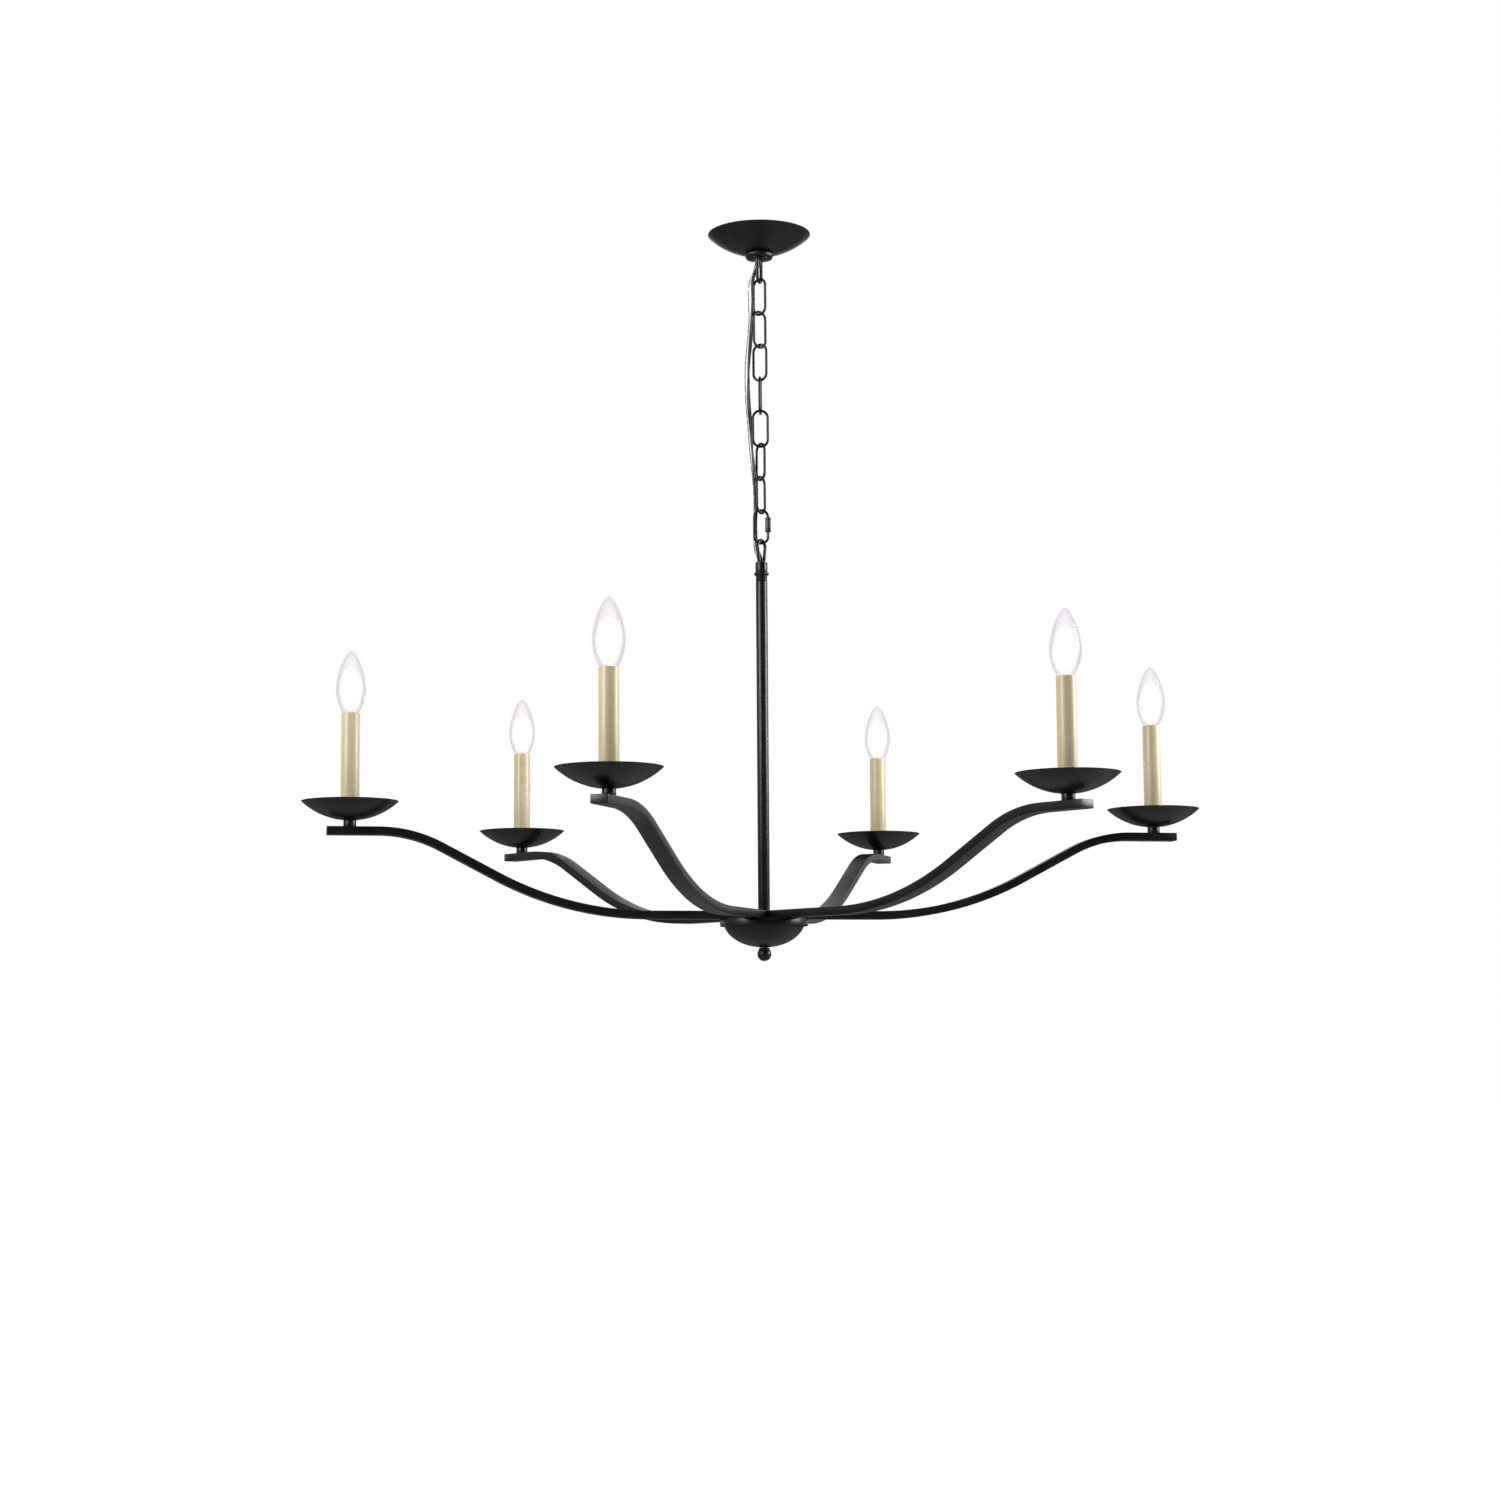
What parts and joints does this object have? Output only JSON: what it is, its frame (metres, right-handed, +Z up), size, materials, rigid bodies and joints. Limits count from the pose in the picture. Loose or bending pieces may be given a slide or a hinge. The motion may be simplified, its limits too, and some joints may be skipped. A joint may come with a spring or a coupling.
{
  "type": "chandelier",
  "caption": "Candle-style chandelier: curved flat arms on a round hub with a finial, each with a drip dish, sleeve and bulb, hung from a stem, a quick link, a chain and a canopy.",
  "frame": {"origin": "centre of the ceiling box, on the ceiling plane, midway between the two mounting slots of the crossbar", "axes": "+Z up into the ceiling, so the fixture hangs towards -Z; +X along the crossbar and arm 1"},
  "size_m": [1.1044, 0.9716, 0.8974],
  "materials": {
    "black_metal": "matte black powder coat with a faint brown cast",
    "plated_steel": "zinc plated",
    "candle_plastic": "ivory candle sleeve",
    "bulb_glass": "clear blown glass with a warm filament",
    "cord_cover": "dark brown lamp cord cover",
    "lead_cover": "black lead insulation",
    "bare_wire": "tinned ground wire",
    "connector_plastic": "moulded orange connector"
  },
  "bodies": {
    "ceiling": {"crossbar": "plated_steel", "crossbar_nipple": "plated_steel", "nipple_nut": "plated_steel", "canopy_loop": "black_metal", "canopy_lead": "lead_cover", "ceiling_connectors": "connector_plastic", "supply_cord": "cord_cover", "ground_wire": "bare_wire"},
    "canopy": {"canopy": "black_metal"},
    "canopy_ring": {"canopy_ring": "black_metal"},
    "chain_link_1": {"chain_link_1": "black_metal"},
    "chain_link_2": {"chain_link_2": "black_metal"},
    "chain_link_3": {"chain_link_3": "black_metal"},
    "chain_link_4": {"chain_link_4": "black_metal"},
    "chain_link_5": {"chain_link_5": "black_metal"},
    "chain_link_6": {"chain_link_6": "black_metal"},
    "chain_link_7": {"chain_link_7": "black_metal"},
    "quick_link": {"quick_link": "black_metal"},
    "quick_link_nut": {"quick_link_nut": "black_metal"},
    "fixture": {"stem_loop": "black_metal", "stem_collar": "black_metal", "stem_tube": "black_metal", "hub_plate": "black_metal", "threaded_nipples": "plated_steel", "lock_nuts": "plated_steel", "arm_screws": "plated_steel", "hub_connectors": "connector_plastic", "fixture_leads": "lead_cover", "arm_1": "black_metal", "arm_2": "black_metal", "arm_3": "black_metal", "arm_4": "black_metal", "arm_5": "black_metal", "arm_6": "black_metal", "candle_necks": "black_metal", "sockets": "plated_steel", "dish_1": "black_metal", "dish_2": "black_metal", "dish_3": "black_metal", "dish_4": "black_metal", "dish_5": "black_metal", "dish_6": "black_metal", "sleeve_1": "candle_plastic", "sleeve_2": "candle_plastic", "sleeve_3": "candle_plastic", "sleeve_4": "candle_plastic", "sleeve_5": "candle_plastic", "sleeve_6": "candle_plastic"},
    "hub_cover": {"hub_cover": "black_metal"},
    "finial": {"finial": "black_metal"},
    "bulb_1": {"bulb_1": "bulb_glass"},
    "bulb_2": {"bulb_2": "bulb_glass"},
    "bulb_3": {"bulb_3": "bulb_glass"},
    "bulb_4": {"bulb_4": "bulb_glass"},
    "bulb_5": {"bulb_5": "bulb_glass"},
    "bulb_6": {"bulb_6": "bulb_glass"}
  },
  "joints": [
    {"name": "canopy_loop_swing", "type": "hinge", "parent": "ceiling", "child": "chain_link_1", "pos_m": [0, 0, -0.06], "axis": [0.4695, 0.8829, 0], "range_deg": [-15, 15]},
    {"name": "chain_swing_1", "type": "hinge", "parent": "chain_link_1", "child": "chain_link_2", "pos_m": [0, 0, -0.1011], "axis": [0.6428, -0.766, 0], "range_deg": [-15, 15]},
    {"name": "chain_swing_2", "type": "hinge", "parent": "chain_link_2", "child": "chain_link_3", "pos_m": [0, 0, -0.1426], "axis": [-0.8829, -0.4695, 0], "range_deg": [-15, 15]},
    {"name": "chain_swing_3", "type": "hinge", "parent": "chain_link_3", "child": "chain_link_4", "pos_m": [0, 0, -0.1841], "axis": [-0.7547, 0.6561, 0], "range_deg": [-15, 15]},
    {"name": "chain_swing_4", "type": "hinge", "parent": "chain_link_4", "child": "chain_link_5", "pos_m": [0, 0, -0.2256], "axis": [-0.2756, -0.9613, 0], "range_deg": [-15, 15]},
    {"name": "chain_swing_5", "type": "hinge", "parent": "chain_link_5", "child": "chain_link_6", "pos_m": [0, 0, -0.2671], "axis": [0.9816, -0.1908, 0], "range_deg": [-15, 15]},
    {"name": "chain_swing_6", "type": "hinge", "parent": "chain_link_6", "child": "chain_link_7", "pos_m": [0, 0, -0.3086], "axis": [-0.3584, 0.9336, 0], "range_deg": [-15, 15]},
    {"name": "quick_link_swing", "type": "hinge", "parent": "chain_link_7", "child": "quick_link", "pos_m": [0, 0, -0.3501], "axis": [0.682, 0.7314, 0], "range_deg": [-15, 15]},
    {"name": "stem_swing", "type": "hinge", "parent": "quick_link", "child": "fixture", "pos_m": [0, 0, -0.3877], "axis": [-0.9816, 0.1908, 0], "range_deg": [-15, 15], "deforming": ["supply_cord", "ground_wire"]},
    {"name": "canopy_drop", "type": "slide", "parent": "ceiling", "child": "canopy", "axis": [0, 0, -1], "range_m": [0, 0.018]},
    {"name": "canopy_ring_drop", "type": "slide", "parent": "ceiling", "child": "canopy_ring", "axis": [0, 0, -1], "range_m": [0, 0.018]},
    {"name": "quick_link_nut_slide", "type": "slide", "parent": "quick_link", "child": "quick_link_nut", "axis": [0, 0, -1], "range_m": [0, 0.0054]},
    {"name": "hub_cover_drop", "type": "slide", "parent": "fixture", "child": "hub_cover", "axis": [0, 0, -1], "range_m": [0, 0.045]},
    {"name": "finial_drop", "type": "slide", "parent": "fixture", "child": "finial", "axis": [0, 0, -1], "range_m": [0, 0.045]},
    {"name": "bulb_lift_1", "type": "slide", "parent": "fixture", "child": "bulb_1", "axis": [0, 0, 1], "range_m": [0, 0.03]},
    {"name": "bulb_lift_2", "type": "slide", "parent": "fixture", "child": "bulb_2", "axis": [0, 0, 1], "range_m": [0, 0.03]},
    {"name": "bulb_lift_3", "type": "slide", "parent": "fixture", "child": "bulb_3", "axis": [0, 0, 1], "range_m": [0, 0.03]},
    {"name": "bulb_lift_4", "type": "slide", "parent": "fixture", "child": "bulb_4", "axis": [0, 0, 1], "range_m": [0, 0.03]},
    {"name": "bulb_lift_5", "type": "slide", "parent": "fixture", "child": "bulb_5", "axis": [0, 0, 1], "range_m": [0, 0.03]},
    {"name": "bulb_lift_6", "type": "slide", "parent": "fixture", "child": "bulb_6", "axis": [0, 0, 1], "range_m": [0, 0.03]}
  ],
  "couplings": [
    {"joint": "canopy_ring_drop", "follows": "canopy_drop", "ratio": 1},
    {"joint": "finial_drop", "follows": "hub_cover_drop", "ratio": 1}
  ]
}
